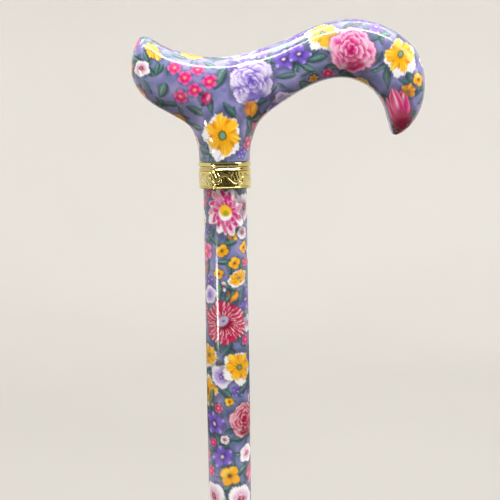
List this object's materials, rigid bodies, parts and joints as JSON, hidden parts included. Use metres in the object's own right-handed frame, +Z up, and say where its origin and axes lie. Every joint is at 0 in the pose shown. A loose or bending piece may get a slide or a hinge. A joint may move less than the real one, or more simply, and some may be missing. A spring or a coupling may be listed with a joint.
{
  "type": "quad walking cane",
  "caption": "Walking cane with a derby handle, a telescopic shaft set by a snap pin and lock nut, and a swivelling base on rubber feet.",
  "frame": {"origin": "on the floor, under the middle of the footprint of the feet", "axes": "+Z up along the shaft, +X towards the hook of the handle, +Y from the user's side to the far side of the base"},
  "size_m": [0.21, 0.151, 0.8636],
  "materials": {
    "print_lacquer": "floral print under clear gloss lacquer",
    "printed_tube": "floral print under clear gloss lacquer",
    "gold_plate": "polished, with an engraved band",
    "bright_steel": "bright",
    "spring_steel": "blued",
    "anodised_tube": "satin anodised",
    "powder_coat": "satin black powder coat",
    "black_nylon": "moulded",
    "pale_nylon": "moulded",
    "foot_rubber": "matt"
  },
  "bodies": {
    "base": {"base_socket": "powder_coat", "socket_plug": "black_nylon", "saddle_plate": "powder_coat", "saddle_plate_lower": "powder_coat", "inner_leg_tube": "powder_coat", "outer_leg_tube": "powder_coat", "ferrule_inner_left": "foot_rubber", "ferrule_inner_right": "foot_rubber", "ferrule_outer_left": "foot_rubber", "ferrule_outer_right": "foot_rubber", "washer_inner_left": "bright_steel", "washer_inner_right": "bright_steel", "washer_outer_left": "bright_steel", "washer_outer_right": "bright_steel"},
    "base_ring": {"base_compression_ring": "pale_nylon"},
    "base_nut": {"base_lock_nut": "black_nylon"},
    "lower_shaft": {"lower_tube": "anodised_tube", "glide_plug": "black_nylon", "button_spring": "spring_steel", "lower_tube_plug": "black_nylon"},
    "button": {"height_button": "bright_steel"},
    "upper_shaft": {"upper_tube": "printed_tube", "thread_sleeve": "black_nylon", "collar": "gold_plate", "tube_plug": "pale_nylon", "handle_stud": "bright_steel", "handle": "print_lacquer"},
    "shaft_ring": {"compression_ring": "pale_nylon"},
    "shaft_nut": {"lock_nut": "black_nylon"}
  },
  "joints": [
    {"name": "base_swivel", "type": "hinge", "parent": "base", "child": "lower_shaft", "pos_m": [0, -0.02, 0.07], "axis": [0, 0, 1], "range_deg": [0, 180]},
    {"name": "height_slide", "type": "slide", "parent": "lower_shaft", "child": "upper_shaft", "axis": [0, 0, 1], "range_m": [-0.0508, 0.1016]},
    {"name": "height_button_press", "type": "slide", "parent": "lower_shaft", "child": "button", "axis": [0, 1, 0], "range_m": [0, 0.0036], "stiffness_N_per_m": 1200, "springref_m": -0.0025, "deforming": ["button_spring"]},
    {"name": "shaft_ring_travel", "type": "slide", "parent": "upper_shaft", "child": "shaft_ring", "axis": [0, 0, -1], "range_m": [0, 0.0025]},
    {"name": "lock_nut_turn", "type": "hinge", "parent": "shaft_ring", "child": "shaft_nut", "pos_m": [0, -0.02, 0.32], "axis": [0, 0, 1], "range_deg": [0, 360]},
    {"name": "base_ring_travel", "type": "slide", "parent": "base", "child": "base_ring", "axis": [0, 0, 1], "range_m": [0, 0.0025]},
    {"name": "base_nut_turn", "type": "hinge", "parent": "base_ring", "child": "base_nut", "pos_m": [0, -0.02, 0.13], "axis": [0, 0, 1], "range_deg": [0, 360]}
  ],
  "couplings": [
    {"joint": "shaft_ring_travel", "follows": "lock_nut_turn", "m_per_rad": 0.000397},
    {"joint": "base_ring_travel", "follows": "base_nut_turn", "m_per_rad": 0.000397}
  ]
}
